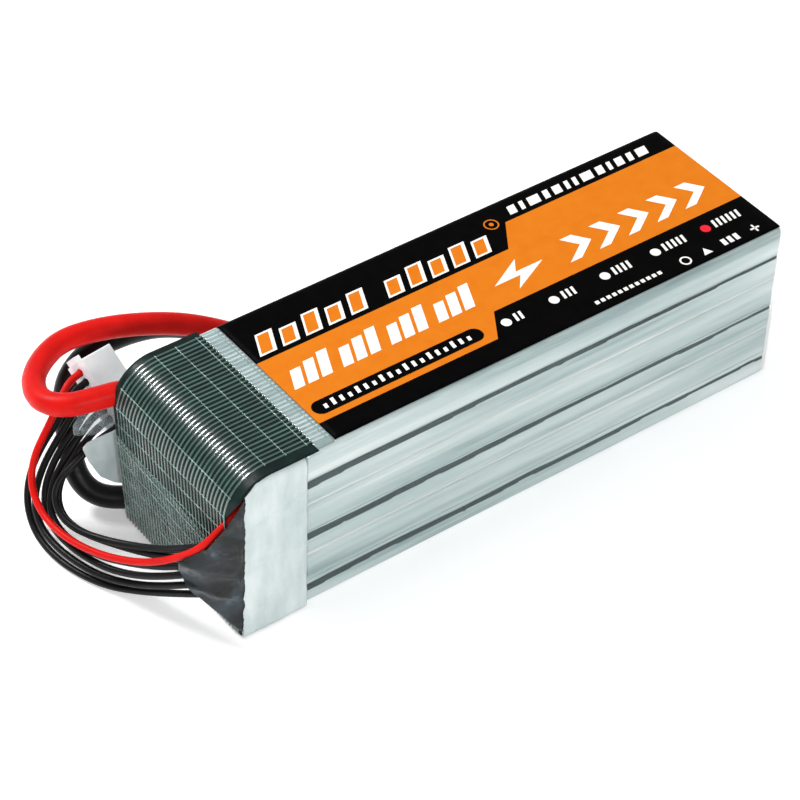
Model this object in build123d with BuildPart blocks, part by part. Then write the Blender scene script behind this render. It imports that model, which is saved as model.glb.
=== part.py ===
"""Six-cell lithium-polymer battery pack with discharge leads and a balance lead.

Millimetres, +Z up. The pack lies on its bottom face, with its origin at the centre of that face.
+X runs along the pack to its closed end, and the leads come out of the wire end at -X.
"""

from build123d import *
from math import pi, radians, tan
import os

os.makedirs("parts", exist_ok=True)

# ---------------------------------------------------------------- driving dimensions
pack_length = 155.0
pack_width = 47.7
far_end_x = pack_length / 2

film_thickness = 0.15
film_start_x = -66.0
film_corner_radius = 2.0
film_lip_width = 6.0

cell_count = 6
cell_thickness = 7.45
adhesive_thickness = 0.16
cell_body_width = 46.1
cell_start_x = -58.0
cell_end_x = far_end_x - film_thickness - 0.1
pouch_corner_radius = 1.5
flange_thickness = 0.6
flange_end_gap = 2.6
flange_edge_inset = 0.3
flange_fold_radius = 1.9
seal_length = 3.0
seal_thickness = 0.9
seal_offset_z = 2.2

tab_width = 9.0
tab_thickness = 0.25
tab_offset_y = 11.0
tab_end_x = -67.2

board_thickness = 1.6
board_inner_x = -65.0
board_outer_x = board_inner_x - board_thickness
board_width = 44.0
board_bottom_z = 0.8
board_top_z = 45.0
tab_slot_clearance = 0.1
pad_thickness = 0.07

paper_thickness = 0.2
paper_start_x = -58.0
tape_thickness = 0.15
tape_start_x = -52.9
end_top_x = -81.0
end_foot_x = -78.5
end_foot_z = 0.5
end_bend_radius = 10.5
end_width = 47.6
notch_width = 6.8
notch_bottom_z = 8.0
notch_top_z = 41.5

label_thickness = 0.12
label_start_x = -52.7
label_end_x = 77.0
label_width = 43.6

corner_tape_thickness = 0.15
corner_tape_start_x = -61.0
corner_tape_front_end_x = -77.0
corner_tape_back_end_x = -70.5
corner_tape_bottom_z = 0.4
corner_tape_top_z = 45.2

lead_diameter = 5.5
wire_diameter = 1.7
wire_count = 7

housing_row_length = 19.8
housing_depth = 5.75
housing_height = 9.8
pin_pitch = 2.5
first_pin_inset = 2.4

plug_length = 16.3
plug_width = 16.0
plug_height = 8.2
plug_rear_x = 6.0
plug_centre_y = 40.0
pole_spacing = 7.2
socket_radius = 1.75
socket_outer_radius = 2.25
socket_depth = 12.0

# ---------------------------------------------------------------- heights of the stack
cell_pitch = cell_thickness + adhesive_thickness
stack_height = cell_count * cell_thickness + (cell_count - 1) * adhesive_thickness
stack_top_z = film_thickness + stack_height
film_top_z = stack_top_z + film_thickness
film_side_y = pack_width / 2


def save(part, node):
    """Labels a finished sub-part and writes its STEP file."""
    part.label = node
    export_step(part, f"parts/{node}.step")


# ---------------------------------------------------------------- pouch cells
def cell_base_z(index):
    return film_thickness + index * cell_pitch


def is_lower_of_pair(index):
    """Cells lie in mirrored pairs. The lower one has its flat side down."""
    return index % 2 == 0


def tab_z(index):
    """The tab and its seal stand a little in from the pouch's flat side."""
    base_z = cell_base_z(index)
    if is_lower_of_pair(index):
        return base_z + seal_offset_z
    return base_z + cell_thickness - seal_offset_z


for index in range(cell_count):
    base_z = cell_base_z(index)
    top_z = base_z + cell_thickness
    flat_down = is_lower_of_pair(index)
    middle_z = (base_z + top_z) / 2
    with BuildPart() as cell:
        with BuildSketch(Plane.YZ.offset(cell_start_x)):
            with Locations((0, middle_z)):
                RectangleRounded(cell_body_width, cell_thickness, pouch_corner_radius)
        extrude(amount=cell_end_x - cell_start_x)
        # The side flanges are folded up against the pocket, and stop short of its far face.
        flange_low = base_z + (flange_fold_radius if flat_down else flange_edge_inset)
        flange_high = top_z - (flange_end_gap if flat_down else flange_fold_radius)
        flange_middle_z = (flange_low + flange_high) / 2
        flange_y = cell_body_width / 2 + flange_thickness / 2
        with BuildSketch(Plane.YZ.offset(cell_start_x)):
            with Locations((flange_y, flange_middle_z), (-flange_y, flange_middle_z)):
                Rectangle(flange_thickness + 0.1, flange_high - flange_low)
        extrude(amount=cell_end_x - cell_start_x)
        # The sealed edge that the tabs come out of.
        with Locations((cell_start_x - seal_length / 2, 0, tab_z(index))):
            Box(seal_length, cell_body_width - 2 * pouch_corner_radius, seal_thickness)
    save(cell.part, f"cell_{index + 1}")

for index in range(cell_count - 1):
    sheet_base_z = cell_base_z(index) + cell_thickness
    with BuildPart() as adhesive:
        with BuildSketch(Plane.XY.offset(sheet_base_z)):
            with Locations(((cell_start_x + cell_end_x) / 2, 0)):
                Rectangle(cell_end_x - cell_start_x - 12, cell_body_width - 8)
        extrude(amount=adhesive_thickness)
    save(adhesive.part, f"cell_adhesive_{index + 1}")


# ---------------------------------------------------------------- tabs and board
def tab_y(index, positive):
    """The poles alternate from cell to cell, as the cells are wired in series."""
    side = 1 if (index % 2 == 0) == positive else -1
    return side * tab_offset_y


def tab_places(positive):
    return [(tab_y(index, positive), tab_z(index)) for index in range(cell_count)]


tab_length = cell_start_x - seal_length - tab_end_x
for positive, node in ((True, "positive_tabs"), (False, "negative_tabs")):
    with BuildPart() as tabs:
        with BuildSketch(Plane.YZ.offset(tab_end_x)):
            with Locations(*tab_places(positive)):
                Rectangle(tab_width, tab_thickness)
        extrude(amount=tab_length)
    save(tabs.part, node)

all_tab_places = tab_places(True) + tab_places(False)
board_middle_z = (board_bottom_z + board_top_z) / 2
with BuildPart() as tab_board:
    with BuildSketch(Plane.YZ.offset(board_outer_x)):
        with Locations((0, board_middle_z)):
            RectangleRounded(board_width, board_top_z - board_bottom_z, 1.5)
        with Locations(*all_tab_places):
            Rectangle(
                tab_width + 2 * tab_slot_clearance,
                tab_thickness + 2 * tab_slot_clearance,
                mode=Mode.SUBTRACT,
            )
    extrude(amount=board_thickness)
save(tab_board.part, "tab_board")

# Solder collars round each tab where it stands out of the board.
solder_depth = board_outer_x - tab_end_x
with BuildPart() as tab_solder:
    with BuildSketch(Plane.YZ.offset(board_outer_x)):
        with Locations(*all_tab_places):
            SlotOverall(tab_width + 1.4, 1.2)
        with Locations(*all_tab_places):
            Rectangle(tab_width, tab_thickness, mode=Mode.SUBTRACT)
    extrude(amount=-solder_depth)
save(tab_solder.part, "tab_solder")

# ---------------------------------------------------------------- connectors' places
# The balance housing hangs beside the pack. Its row of pins runs along housing_row_direction,
# and the mating plug enters against housing_mate_direction.
housing_corner = Vector(-77.7, 41.1, 35.4)
housing_mate_direction = Vector(0.9465, 0.2742, -0.1701)
housing_row_direction = Vector(0.1197, -0.788, -0.6039)
housing_plane = Plane(
    origin=housing_corner, x_dir=housing_row_direction, z_dir=housing_mate_direction
)
cavity_radius = 1.0
wire_insertion = 1.5
last_straight_run = 3.5


def pin_point(pin, height):
    """A point on a pin's axis, at a height above the housing's wire side."""
    row = first_pin_inset + pin * pin_pitch
    point = housing_plane.from_local_coords((row, housing_depth / 2, height))
    return (point.X, point.Y, point.Z)


# The main plug lies on the ground behind the pack, with its mouth towards +X.
plug_middle_z = plug_height / 2
red_pole_y = plug_centre_y - pole_spacing / 2
black_pole_y = plug_centre_y + pole_spacing / 2
lead_end_x = 2.0

# ---------------------------------------------------------------- wire routes
# Chosen by hand, from the solder joint on the board to the far end of each lead.
lead_joint_y = 5.6
red_lead_route = [
    (-69.5, lead_joint_y, 37.5),
    (-69.5, 16, 37.5),
    (-75.5, 24.5, 37.2),
    (-83.5, 26.3, 37),
    (-89.5, 28.5, 36.4),
    (-92.5, 34.5, 35),
    (-90, 42.5, 33.5),
    (-84, 48.5, 32.8),
    (-76, 52.5, 32.2),
    (-66, 51.5, 31.6),
    (-56, 48.5, 30.4),
    (-46, 45.5, 27.5),
    (-36, 42.5, 22),
    (-27, 40, 15),
    (-18, 38, 8.5),
    (-8, red_pole_y, plug_middle_z),
    (lead_end_x, red_pole_y, plug_middle_z),
]
black_lead_route = [
    (-69.5, lead_joint_y, 5),
    (-69.5, 15, 5),
    (-75.3, 24, 4.2),
    (-81.8, 28.5, 4.2),
    (-84.5, 33, 7),
    (-84.3, 37, 13),
    (-82.5, 41, 19),
    (-80.5, 45, 23),
    (-75.5, 49.6, 24.7),
    (-68, 53.2, 24.8),
    (-58, 54, 24.3),
    (-48, 54, 22),
    (-38, 52, 17.5),
    (-28, 49, 12),
    (-18, 46.2, 7.2),
    (-8, black_pole_y, plug_middle_z),
    (lead_end_x, black_pole_y, plug_middle_z),
]

# Each balance wire leaves its own joint on the board, and ends in its own pin of the housing.
wire_joint_x = -67.5
wire_start_x = -67.7
wire_joint_y = -20.0
balance_routes = [
    [
        (wire_start_x, wire_joint_y, 39.5),
        (-73, -21.2, 39.5),
        (-77.6, -21.5, 37),
        (-80.2, -19.6, 32),
        (-84.5, -17.5, 26.3),
        (-87.8, -12.3, 21),
        (-90.8, -6, 16.2),
        (-94, 1.5, 13),
        (-96.6, 10, 10.5),
        (-98.2, 19, 9.1),
        (-98.3, 27.5, 9.3),
        (-96.9, 33.8, 12.8),
        (-94, 36.3, 18),
        (-90.4, 36.6, 23.4),
        (-86.5, 37.2, 28.6),
    ],
    [
        (wire_start_x, wire_joint_y, 14),
        (-74, -21.3, 13.5),
        (-80, -20.5, 12.5),
        (-84, -15, 10),
        (-86.8, -8, 6),
        (-90, -1, 2.6),
        (-94.5, 6, 1.1),
        (-97.8, 14, 0.9),
        (-99.2, 22.5, 0.9),
        (-99, 30, 2.2),
        (-97.4, 35.4, 6.3),
        (-94.4, 38, 12),
        (-90.4, 38.4, 18),
        (-86.2, 37.7, 24),
    ],
    [
        (wire_start_x, wire_joint_y, 17),
        (-74, -21.3, 17),
        (-80, -20.5, 16),
        (-85, -14.5, 13.2),
        (-88, -8, 9),
        (-91, -1, 5.3),
        (-94.6, 6.5, 3.4),
        (-97, 14, 3.1),
        (-98.3, 22.5, 3.1),
        (-98, 29.5, 4.4),
        (-96.2, 33.7, 8.4),
        (-93, 34.9, 14.5),
        (-89.2, 35, 20),
        (-85.4, 34.8, 25),
    ],
    [
        (wire_start_x, wire_joint_y, 20.5),
        (-74, -21.3, 20.5),
        (-80, -20.5, 19.5),
        (-85.5, -14, 16.2),
        (-88.8, -7, 11.6),
        (-91.4, 0, 7.8),
        (-94, 7.5, 5.5),
        (-96, 15, 5.1),
        (-96.8, 22.5, 5.1),
        (-96.2, 28.8, 6.6),
        (-94.4, 32, 10.8),
        (-91.7, 32.7, 16),
        (-88.2, 33, 20.6),
        (-84.6, 33, 24),
    ],
    [
        (wire_start_x, wire_joint_y, 23.7),
        (-74, -21.3, 23.7),
        (-80, -20.5, 22.3),
        (-85, -13.3, 18.05),
        (-88, -6.5, 13.8),
        (-90.8, 1, 10.3),
        (-93.6, 8.5, 7.7),
        (-96, 15.5, 7.2),
        (-96.8, 22, 7.2),
        (-96, 27.3, 9),
        (-93.4, 30.1, 12.8),
        (-90.4, 30.7, 17.2),
        (-87, 31, 20.8),
        (-83.8, 31.4, 23.7),
    ],
    [
        (wire_start_x, wire_joint_y, 27),
        (-74, -21.3, 27),
        (-80, -20.5, 25),
        (-84.4, -14.5, 20.9),
        (-86.3, -7, 16.2),
        (-88.4, 1, 12.6),
        (-91, 9, 10.2),
        (-94, 16.5, 9.2),
        (-95, 22.5, 9.3),
        (-94.2, 26.6, 11.4),
        (-92.3, 28.2, 15.4),
        (-89, 28.6, 19),
        (-85, 29.2, 22.3),
    ],
    [
        (wire_start_x, wire_joint_y, 30),
        (-74, -21.3, 30),
        (-80, -20.5, 27.6),
        (-84, -14, 23.6),
        (-86.4, -6.5, 18.2),
        (-89, 1.5, 14.2),
        (-92.2, 9, 11.8),
        (-95.4, 15.5, 11.2),
        (-96.6, 21.3, 11.8),
        (-95.6, 25.6, 14),
        (-93.2, 26.8, 17.4),
        (-89.4, 26.6, 20),
        (-84.9, 27.1, 22.3),
    ],
]
for pin, route in enumerate(balance_routes):
    route.append(pin_point(pin, -last_straight_run))
    route.append(pin_point(pin, wire_insertion))


# ---------------------------------------------------------------- leads and wires
def arc_radii(route):
    """Each arc is as large as its two runs allow: 0.45 of the shorter, by half the turn."""
    points = [Vector(*point) for point in route]
    radii = []
    for before, here, after in zip(points, points[1:], points[2:]):
        inward = here - before
        outward = after - here
        half_turn = radians(inward.get_angle(outward)) / 2
        radii.append(0.45 * min(inward.length, outward.length) / tan(half_turn))
    return radii


def make_cord(node, route, diameter):
    """A round tube along straight runs joined by tangent arcs."""
    radii = arc_radii(route)
    with BuildPart() as cord:
        with BuildLine() as path:
            FilletPolyline(*route, radius=radii)
        with BuildSketch(Plane(origin=path.line @ 0, z_dir=path.line % 0)):
            Circle(diameter / 2)
        sweep(path=path.line)
    length = path.wires()[0].length
    volume_ratio = cord.part.volume / (pi * diameter**2 / 4 * length)
    print(node, "length", round(length, 1), "volume ratio", round(volume_ratio, 4))
    print("    radii", [round(radius, 1) for radius in radii])
    save(cord.part, node)


make_cord("red_lead", red_lead_route, lead_diameter)
make_cord("black_lead", black_lead_route, lead_diameter)
for pin, route in enumerate(balance_routes):
    make_cord(f"balance_wire_{pin + 1}", route, wire_diameter)

# ---------------------------------------------------------------- copper and solder on the board
lead_joint_length = 11.0
lead_joint_height = 4.6
lead_joint_depth = 4.2
lead_joint_places = [(lead_joint_y - lead_joint_length / 2, z) for z in (37.5, 5.0)]
wire_joint_radius = 1.25
wire_joint_places = [(wire_joint_y, route[0][2]) for route in balance_routes]

pad_outer_x = board_outer_x - pad_thickness
with BuildPart() as board_copper_pads:
    with BuildSketch(Plane.YZ.offset(board_outer_x)):
        with Locations(*lead_joint_places):
            RectangleRounded(lead_joint_length + 0.8, lead_joint_height + 0.4, 0.8)
        with Locations(*wire_joint_places):
            Circle(wire_joint_radius + 0.15)
        with Locations(*all_tab_places):
            SlotOverall(tab_width + 1.6, 1.4, mode=Mode.SUBTRACT)
    extrude(amount=-pad_thickness)
save(board_copper_pads.part, "board_copper_pads")

with BuildPart() as lead_solder_joints:
    with BuildSketch(Plane.YZ.offset(pad_outer_x)):
        with Locations(*lead_joint_places):
            RectangleRounded(lead_joint_length, lead_joint_height, 0.6)
    extrude(amount=-lead_joint_depth)
save(lead_solder_joints.part, "lead_solder_joints")

with BuildPart() as balance_solder_joints:
    with BuildSketch(Plane.YZ.offset(pad_outer_x)):
        with Locations(*wire_joint_places):
            Circle(wire_joint_radius)
    extrude(amount=wire_joint_x - pad_outer_x)
save(balance_solder_joints.part, "balance_solder_joints")


# ---------------------------------------------------------------- wire-end wrapping
def end_outline(inset, start_x, top_z):
    """The wire end's side view: over the top, round the bend, and down to the foot."""
    FilletPolyline(
        (start_x, top_z),
        (end_top_x + inset, top_z),
        (end_foot_x + inset, end_foot_z),
        radius=end_bend_radius - inset,
    )


def closed_strip(outer_inset, thickness, start_x, top_z):
    """Closes the outline and a second one inside it to a thin strip."""
    inner_inset = outer_inset + thickness
    inner_top_z = top_z - thickness
    end_outline(outer_inset, start_x, top_z)
    end_outline(inner_inset, start_x, inner_top_z)
    Line((start_x, top_z), (start_x, inner_top_z))
    Line((end_foot_x + outer_inset, end_foot_z), (end_foot_x + inner_inset, end_foot_z))


paper_top_z = film_top_z + paper_thickness
tape_top_z = paper_top_z + tape_thickness
notch_middle_z = (notch_bottom_z + notch_top_z) / 2
notch_middle_y = -(end_width - notch_width) / 2
notch_depth_x = 24.0
lead_notch_heights = (37.0, 4.5)
lead_notch_height = 7.2
lead_notch_depth = 1.6


def cut_wire_notches():
    """The front corner is open for the balance wires, and the back edge gives way to the leads."""
    with Locations((end_top_x, notch_middle_y, notch_middle_z)):
        Box(notch_depth_x, notch_width, notch_top_z - notch_bottom_z, mode=Mode.SUBTRACT)
    with Locations(*[(end_top_x, end_width / 2, z) for z in lead_notch_heights]):
        Box(notch_depth_x, 2 * lead_notch_depth, lead_notch_height, mode=Mode.SUBTRACT)


with BuildPart() as end_insulation_wrap:
    with BuildSketch(Plane.XZ):
        with BuildLine():
            closed_strip(tape_thickness, paper_thickness, paper_start_x, paper_top_z)
        make_face()
    extrude(amount=end_width / 2, both=True)
    cut_wire_notches()
save(end_insulation_wrap.part, "end_insulation_wrap")

# The tape reaches past the paper, and steps down onto the film there.
with BuildPart() as filament_tape:
    with BuildSketch(Plane.XZ):
        with BuildLine():
            closed_strip(0, tape_thickness, paper_start_x, tape_top_z)
        make_face()
        with BuildLine():
            Polyline(
                (paper_start_x, tape_top_z),
                (paper_start_x + tape_thickness, tape_top_z),
                (paper_start_x + tape_thickness, film_top_z + tape_thickness),
                (tape_start_x, film_top_z + tape_thickness),
                (tape_start_x, film_top_z),
                (paper_start_x, film_top_z),
                close=True,
            )
        make_face()
    extrude(amount=end_width / 2, both=True)
    cut_wire_notches()
save(filament_tape.part, "filament_tape")

foam_thickness = 1.5
foam_low_z = 9.0
foam_high_z = 33.0
foam_low_y = -16.0
foam_high_y = 12.0


def wrap_inner_x(z):
    """The inside of the wrap's slanting end face."""
    down = (tape_top_z - z) / (tape_top_z - end_foot_z)
    face_x = end_top_x + (end_foot_x - end_top_x) * down
    return face_x + tape_thickness + paper_thickness + 0.05


with BuildPart() as end_foam_pad:
    low_x = wrap_inner_x(foam_low_z)
    high_x = wrap_inner_x(foam_high_z)
    with BuildSketch(Plane.XZ.offset(-foam_high_y)):
        with BuildLine():
            Polyline(
                (low_x, foam_low_z),
                (high_x, foam_high_z),
                (high_x + foam_thickness, foam_high_z),
                (low_x + foam_thickness, foam_low_z),
                close=True,
            )
        make_face()
    extrude(amount=foam_high_y - foam_low_y)
save(end_foam_pad.part, "end_foam_pad")

# ---------------------------------------------------------------- corner tapes
tape_middle_z = (corner_tape_bottom_z + corner_tape_top_z) / 2
tape_height = corner_tape_top_z - corner_tape_bottom_z
front_tape_length = corner_tape_start_x - corner_tape_front_end_x
with BuildPart() as corner_tape_front:
    with BuildSketch(Plane.XZ.offset(film_side_y)):
        with Locations((corner_tape_start_x - front_tape_length / 2, tape_middle_z)):
            Rectangle(front_tape_length, tape_height)
    extrude(amount=corner_tape_thickness)
save(corner_tape_front.part, "corner_tape_front")

# The back tape runs on past the end as a loose flap between the two leads.
flap_end_x = -85.0
flap_end_y = 25.4
flap_bottom_z = 11.0
flap_top_z = 29.0
with BuildPart() as corner_tape_back:
    back_y = film_side_y
    with BuildSketch(Plane.XY.offset(corner_tape_bottom_z)):
        with BuildLine():
            Polyline(
                (corner_tape_start_x, back_y),
                (corner_tape_start_x, back_y + corner_tape_thickness),
                (corner_tape_back_end_x, back_y + corner_tape_thickness),
                (corner_tape_back_end_x, back_y),
                close=True,
            )
        make_face()
    extrude(amount=tape_height)
    with BuildSketch(Plane.XY.offset(flap_bottom_z)):
        with BuildLine():
            Polyline(
                (corner_tape_back_end_x, back_y),
                (corner_tape_back_end_x, back_y + corner_tape_thickness),
                (flap_end_x, flap_end_y + corner_tape_thickness),
                (flap_end_x, flap_end_y),
                close=True,
            )
        make_face()
    extrude(amount=flap_top_z - flap_bottom_z)
save(corner_tape_back.part, "corner_tape_back")

# ---------------------------------------------------------------- loose clear film at the wires
clear_film_thickness = 0.25
with BuildPart() as lead_film_collar:
    with BuildSketch(Plane.XY.offset(24.5)):
        with BuildLine():
            Polyline(
                (-78.5, 25.3),
                (-87.0, 26.9),
                (-87.0, 26.9 + clear_film_thickness),
                (-78.5, 25.3 + clear_film_thickness),
                close=True,
            )
        make_face()
    extrude(amount=9.0)
save(lead_film_collar.part, "lead_film_collar")

# A gusset from the front corner tape out over the bunch of balance wires.
with BuildPart() as balance_wire_film:
    with BuildSketch(Plane.XY.offset(1.0)):
        with BuildLine():
            outer_points = [(-74, -24.25), (-82.3, -24.25), (-89.5, -14)]
            inner_points = [(-74, -24), (-82.15, -24), (-89.3, -13.86)]
            gusset_outer = FilletPolyline(*outer_points, radius=5.25)
            gusset_inner = FilletPolyline(*inner_points, radius=5)
            Line(gusset_outer @ 0, gusset_inner @ 0)
            Line(gusset_outer @ 1, gusset_inner @ 1)
        make_face()
    extrude(amount=34.0)
save(balance_wire_film.part, "balance_wire_film")

# ---------------------------------------------------------------- clear film sleeve and label
film_middle_z = film_top_z / 2
inner_corner_radius = film_corner_radius - film_thickness
lip_start_x = far_end_x - film_thickness
lip_opening_width = pack_width - 2 * film_lip_width
lip_opening_height = film_top_z - 2 * film_lip_width
with BuildPart() as shrink_film:
    with BuildSketch(Plane.YZ.offset(film_start_x)):
        with Locations((0, film_middle_z)):
            RectangleRounded(pack_width, film_top_z, film_corner_radius)
    extrude(amount=far_end_x - film_start_x)
    with BuildSketch(Plane.YZ.offset(film_start_x)):
        with Locations((0, film_middle_z)):
            RectangleRounded(
                pack_width - 2 * film_thickness,
                film_top_z - 2 * film_thickness,
                inner_corner_radius,
            )
    extrude(amount=lip_start_x - film_start_x, mode=Mode.SUBTRACT)
    # The sleeve shrinks in round the closed end to a narrow lip.
    with BuildSketch(Plane.YZ.offset(lip_start_x)):
        with Locations((0, film_middle_z)):
            RectangleRounded(lip_opening_width, lip_opening_height, film_lip_width)
    extrude(amount=film_thickness, mode=Mode.SUBTRACT)
save(shrink_film.part, "shrink_film")

label_length = label_end_x - label_start_x
with BuildPart() as label:
    with BuildSketch(Plane.XY.offset(film_top_z)):
        with Locations(((label_start_x + label_end_x) / 2, 0)):
            RectangleRounded(label_length, label_width, 0.5)
    extrude(amount=label_thickness)
save(label.part, "label")

# ---------------------------------------------------------------- balance connector
contact_size = 1.5
contact_hole = 0.8
contact_length = 6.0
window_size = 1.7
rib_width = 1.0
rib_height = 0.8
rib_length = 6.5
ear_size = 1.3
ear_depth = 2.6
ear_length = 2.2
ear_overhang = 0.6
with BuildPart() as balance_housing:
    with BuildSketch(housing_plane):
        with Locations((housing_row_length / 2, housing_depth / 2)):
            RectangleRounded(housing_row_length, housing_depth, 0.4)
    extrude(amount=housing_height)
    # A small ear stands at the first pin's end, on the wire side.
    with BuildSketch(housing_plane.offset(-ear_overhang)):
        with Locations((-ear_size / 2 + 0.05, housing_depth / 2)):
            Rectangle(ear_size + 0.1, ear_depth)
    extrude(amount=ear_length)
    # Two ribs on the broad side stop the plug going in upside down.
    with BuildSketch(housing_plane.offset(housing_height - rib_length)):
        for rib_row in (1.2, housing_row_length - 1.2):
            with Locations((rib_row, housing_depth + rib_height / 2 - 0.05)):
                Rectangle(rib_width, rib_height + 0.1)
    extrude(amount=rib_length)
    for pin in range(wire_count):
        row = first_pin_inset + pin * pin_pitch
        with BuildSketch(housing_plane):
            with Locations((row, housing_depth / 2)):
                Circle(cavity_radius)
        extrude(amount=wire_insertion + 0.6, mode=Mode.SUBTRACT)
        with BuildSketch(housing_plane.offset(wire_insertion)):
            with Locations((row, housing_depth / 2)):
                Rectangle(window_size, window_size)
        extrude(amount=housing_height - wire_insertion, mode=Mode.SUBTRACT)
save(balance_housing.part, "balance_housing")

with BuildPart() as balance_contacts:
    pin_places = [
        (first_pin_inset + pin * pin_pitch, housing_depth / 2) for pin in range(wire_count)
    ]
    with BuildSketch(housing_plane.offset(wire_insertion)):
        with Locations(*pin_places):
            Rectangle(contact_size, contact_size)
    extrude(amount=contact_length)
    with BuildSketch(housing_plane.offset(wire_insertion + 1.0)):
        with Locations(*pin_places):
            Rectangle(contact_hole, contact_hole)
    extrude(amount=contact_length, mode=Mode.SUBTRACT)
save(balance_contacts.part, "balance_contacts")

# ---------------------------------------------------------------- main plug
plug_front_x = plug_rear_x + plug_length
poles = (red_pole_y, black_pole_y)
contact_front_x = plug_front_x - 1.2
cup_radius = 2.6
corner_cut = 2.6
with BuildPart() as main_plug_body:
    with BuildSketch(Plane.YZ.offset(plug_rear_x)):
        with Locations((plug_centre_y, plug_middle_z)):
            Rectangle(plug_width, plug_height)
        # Two corners on the black pole's side are cut off, so that it mates one way only.
        black_side = vertices().group_by(Axis.Y)[-1]
        chamfer(black_side, corner_cut)
    extrude(amount=plug_length)
    with BuildSketch(Plane.YZ.offset(plug_rear_x)):
        with Locations(*[(pole, plug_middle_z) for pole in poles]):
            Circle(socket_outer_radius)
    extrude(amount=plug_length, mode=Mode.SUBTRACT)
save(main_plug_body.part, "main_plug_body")

with BuildPart() as main_plug_sockets:
    with BuildSketch(Plane.YZ.offset(lead_end_x)):
        with Locations(*[(pole, plug_middle_z) for pole in poles]):
            Circle(cup_radius)
    extrude(amount=plug_rear_x - lead_end_x)
    with BuildSketch(Plane.YZ.offset(plug_rear_x)):
        with Locations(*[(pole, plug_middle_z) for pole in poles]):
            Circle(socket_outer_radius)
    extrude(amount=contact_front_x - plug_rear_x)
    with BuildSketch(Plane.YZ.offset(contact_front_x)):
        with Locations(*[(pole, plug_middle_z) for pole in poles]):
            Circle(socket_radius)
    extrude(amount=-socket_depth, mode=Mode.SUBTRACT)
save(main_plug_sockets.part, "main_plug_sockets")

sleeve_start_x = -3.4
sleeve_inner_radius = lead_diameter / 2 + 0.05
sleeve_wall = 0.35
for pole, node in ((red_pole_y, "red_lead_sleeve"), (black_pole_y, "black_lead_sleeve")):
    with BuildPart() as sleeve:
        with BuildSketch(Plane.YZ.offset(sleeve_start_x)):
            with Locations((pole, plug_middle_z)):
                Circle(sleeve_inner_radius + sleeve_wall)
                Circle(sleeve_inner_radius, mode=Mode.SUBTRACT)
        extrude(amount=plug_rear_x - sleeve_start_x)
    save(sleeve.part, node)
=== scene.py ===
"""Looks for the six-cell battery pack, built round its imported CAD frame. Metres, +Z up."""

import math

import bmesh
import bpy
from mathutils import Matrix, Vector, noise


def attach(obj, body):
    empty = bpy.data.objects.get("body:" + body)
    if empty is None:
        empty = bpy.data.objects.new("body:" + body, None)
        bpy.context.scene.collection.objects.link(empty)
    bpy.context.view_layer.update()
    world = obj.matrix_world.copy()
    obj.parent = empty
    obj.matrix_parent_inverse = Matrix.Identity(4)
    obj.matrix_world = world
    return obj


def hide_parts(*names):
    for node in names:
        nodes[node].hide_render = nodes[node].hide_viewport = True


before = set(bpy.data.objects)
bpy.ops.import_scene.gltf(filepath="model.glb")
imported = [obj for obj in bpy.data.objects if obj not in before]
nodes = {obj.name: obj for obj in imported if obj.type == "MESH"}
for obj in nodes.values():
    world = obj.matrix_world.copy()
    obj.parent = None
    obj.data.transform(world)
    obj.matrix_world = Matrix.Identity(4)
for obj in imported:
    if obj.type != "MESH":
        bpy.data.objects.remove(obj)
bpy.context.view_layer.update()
MM = 0.001

# ------------------------------------------------------------------ camera
CAMERA_PLACE = Vector((-331.51, -398.69, 478.64)) * MM
CAMERA_FORWARD = Vector((0.46026, 0.58412, -0.66855)).normalized()
CAMERA_UP = Vector((0.38187, 0.54957, 0.74306))

camera_data = bpy.data.cameras.new("camera")
camera_data.lens = 132.77
camera_data.sensor_width = 36.0
camera_data.clip_start = 0.01
camera = bpy.data.objects.new("camera", camera_data)
bpy.context.scene.collection.objects.link(camera)
camera_right = CAMERA_FORWARD.cross(CAMERA_UP).normalized()
camera_up = camera_right.cross(CAMERA_FORWARD)
turn = Matrix((camera_right, camera_up, -CAMERA_FORWARD)).transposed().to_4x4()
camera.matrix_world = Matrix.Translation(CAMERA_PLACE) @ turn
bpy.context.scene.camera = camera


# ------------------------------------------------------------------ material helpers
def srgb(code):
    """A web colour as linear RGBA."""
    parts = [int(code[i : i + 2], 16) / 255 for i in (1, 3, 5)]
    linear = [c / 12.92 if c <= 0.04045 else ((c + 0.055) / 1.055) ** 2.4 for c in parts]
    return (*linear, 1.0)


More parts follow.
